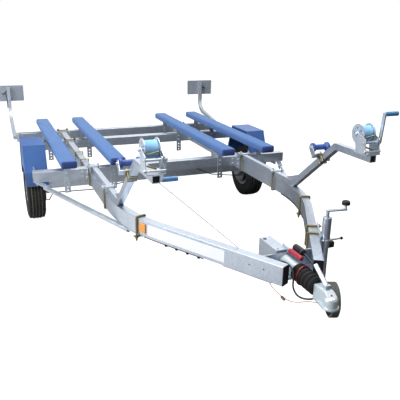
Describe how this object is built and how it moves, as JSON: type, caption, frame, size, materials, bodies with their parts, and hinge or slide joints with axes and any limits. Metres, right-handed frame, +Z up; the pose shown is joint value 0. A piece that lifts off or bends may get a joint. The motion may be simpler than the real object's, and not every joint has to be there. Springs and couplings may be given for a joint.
{
  "type": "boat trailer",
  "caption": "Galvanised boat trailer for a pair of personal watercraft: bent drawbar rails, carpeted bunks, winch posts, overrun coupling and jockey wheel.",
  "frame": {"origin": "on the ground under the middle of the trailer", "axes": "+Y to the rear, +X to the trailer's own left, +Z up"},
  "size_m": [2.526, 4.503, 1.1154],
  "materials": {
    "galvanised_steel": "hot-dip galvanised, spangled",
    "gold_zinc": "yellow zinc plate",
    "cast_zinc": "bright zinc plate",
    "bunk_carpet": "ribbed blue carpet",
    "blue_panel": "moulded blue",
    "blue_rubber": "moulded blue",
    "webbing": "woven light blue",
    "tyre_rubber": "black",
    "rim_paint": "silver",
    "drum_iron": "dark",
    "black_rubber": "moulded",
    "black_plastic": "moulded",
    "red_plastic": "moulded red",
    "lamp_lens": "red lens",
    "grey_board": "grey",
    "white_panel": "blank white",
    "amber_lens": "amber",
    "black_cable": "black sheath",
    "plug_plastic": "black moulded",
    "red_cable": "red sheathed"
  },
  "bodies": {
    "chassis": {"axle_beam": "galvanised_steel", "axle_hangers": "galvanised_steel", "bellows": "black_rubber", "braces": "galvanised_steel", "brake_channel": "galvanised_steel", "brake_grip": "red_plastic", "brake_lever": "galvanised_steel", "breakaway_cable": "red_cable", "bunk_uprights": "galvanised_steel", "bunks": "bunk_carpet", "chassis_cables": "black_cable", "coupling_head": "cast_zinc", "coupling_lever": "cast_zinc", "cross_front": "galvanised_steel", "cross_middle": "galvanised_steel", "cross_rear": "galvanised_steel", "frame_clamps": "gold_zinc", "guard_stays": "galvanised_steel", "hitch_plate": "galvanised_steel", "jack_crank": "galvanised_steel", "jack_knob": "black_plastic", "jockey_clamp": "galvanised_steel", "jockey_sleeve": "galvanised_steel", "lamp_boards": "grey_board", "lamp_posts": "galvanised_steel", "lead_cable": "black_cable", "lead_plug": "plug_plastic", "mudguards": "blue_panel", "overrun_housing": "cast_zinc", "rail_caps": "black_plastic", "rail_left": "galvanised_steel", "rail_right": "galvanised_steel", "side_panels": "white_panel", "side_reflectors": "amber_lens", "snub_brackets": "galvanised_steel", "swing_arms": "galvanised_steel", "tail_lamps": "lamp_lens", "winch_frames": "galvanised_steel", "winch_posts": "galvanised_steel"},
    "wheel_left": {"tyre_left": "tyre_rubber", "rim_left": "rim_paint", "brake_drum_left": "drum_iron"},
    "wheel_right": {"tyre_right": "tyre_rubber", "rim_right": "rim_paint", "brake_drum_right": "drum_iron"},
    "snub_left": {"snub_roller_left": "blue_rubber"},
    "snub_right": {"snub_roller_right": "blue_rubber"},
    "drum_left": {"winch_drum_left": "galvanised_steel", "winch_strap_left": "webbing"},
    "drum_right": {"winch_drum_right": "galvanised_steel", "winch_strap_right": "webbing"},
    "crank_left": {"winch_crank_left": "galvanised_steel", "crank_grip_left": "blue_rubber"},
    "crank_right": {"winch_crank_right": "galvanised_steel", "crank_grip_right": "blue_rubber"},
    "jockey_post": {"jockey_leg": "galvanised_steel"},
    "jockey_caster": {"jockey_fork": "galvanised_steel"},
    "jockey_roller": {"jockey_hub": "black_plastic", "jockey_tyre": "tyre_rubber"}
  },
  "joints": [
    {"name": "wheel_left_spin", "type": "hinge", "parent": "chassis", "child": "wheel_left", "pos_m": [1.03, 0.7, 0.245], "axis": [1, 0, 0], "continuous": true},
    {"name": "snub_left_spin", "type": "hinge", "parent": "chassis", "child": "snub_left", "pos_m": [0.628, -1.13315, 0.83432], "axis": [1, 0, 0], "continuous": true},
    {"name": "winch_left_turn", "type": "hinge", "parent": "chassis", "child": "drum_left", "pos_m": [0.628, -1.55356, 0.98616], "axis": [1, 0, 0], "continuous": true},
    {"name": "crank_left_turn", "type": "hinge", "parent": "chassis", "child": "crank_left", "pos_m": [0.628, -1.61798, 0.94554], "axis": [1, 0, 0], "continuous": true},
    {"name": "wheel_right_spin", "type": "hinge", "parent": "chassis", "child": "wheel_right", "pos_m": [-1.03, 0.7, 0.245], "axis": [1, 0, 0], "continuous": true},
    {"name": "snub_right_spin", "type": "hinge", "parent": "chassis", "child": "snub_right", "pos_m": [-0.628, -1.13315, 0.83432], "axis": [1, 0, 0], "continuous": true},
    {"name": "winch_right_turn", "type": "hinge", "parent": "chassis", "child": "drum_right", "pos_m": [-0.628, -1.55356, 0.98616], "axis": [1, 0, 0], "continuous": true},
    {"name": "crank_right_turn", "type": "hinge", "parent": "chassis", "child": "crank_right", "pos_m": [-0.628, -1.61798, 0.94554], "axis": [1, 0, 0], "continuous": true},
    {"name": "jockey_lift", "type": "slide", "parent": "chassis", "child": "jockey_post", "axis": [0, -0.0401, 0.9992], "range_m": [-0.02, 0.12]},
    {"name": "jockey_swivel", "type": "hinge", "parent": "jockey_post", "child": "jockey_caster", "pos_m": [0.28051, -1.73605, 0.18519], "axis": [0, -0.0401, 0.9992], "continuous": true},
    {"name": "jockey_spin", "type": "hinge", "parent": "jockey_caster", "child": "jockey_roller", "pos_m": [0.34723, -1.75694, 0.1], "axis": [0.9397, -0.3417, -0.0137], "continuous": true}
  ],
  "couplings": [
    {"joint": "crank_left_turn", "follows": "winch_left_turn", "ratio": -3.0811},
    {"joint": "crank_right_turn", "follows": "winch_right_turn", "ratio": -3.0811}
  ]
}
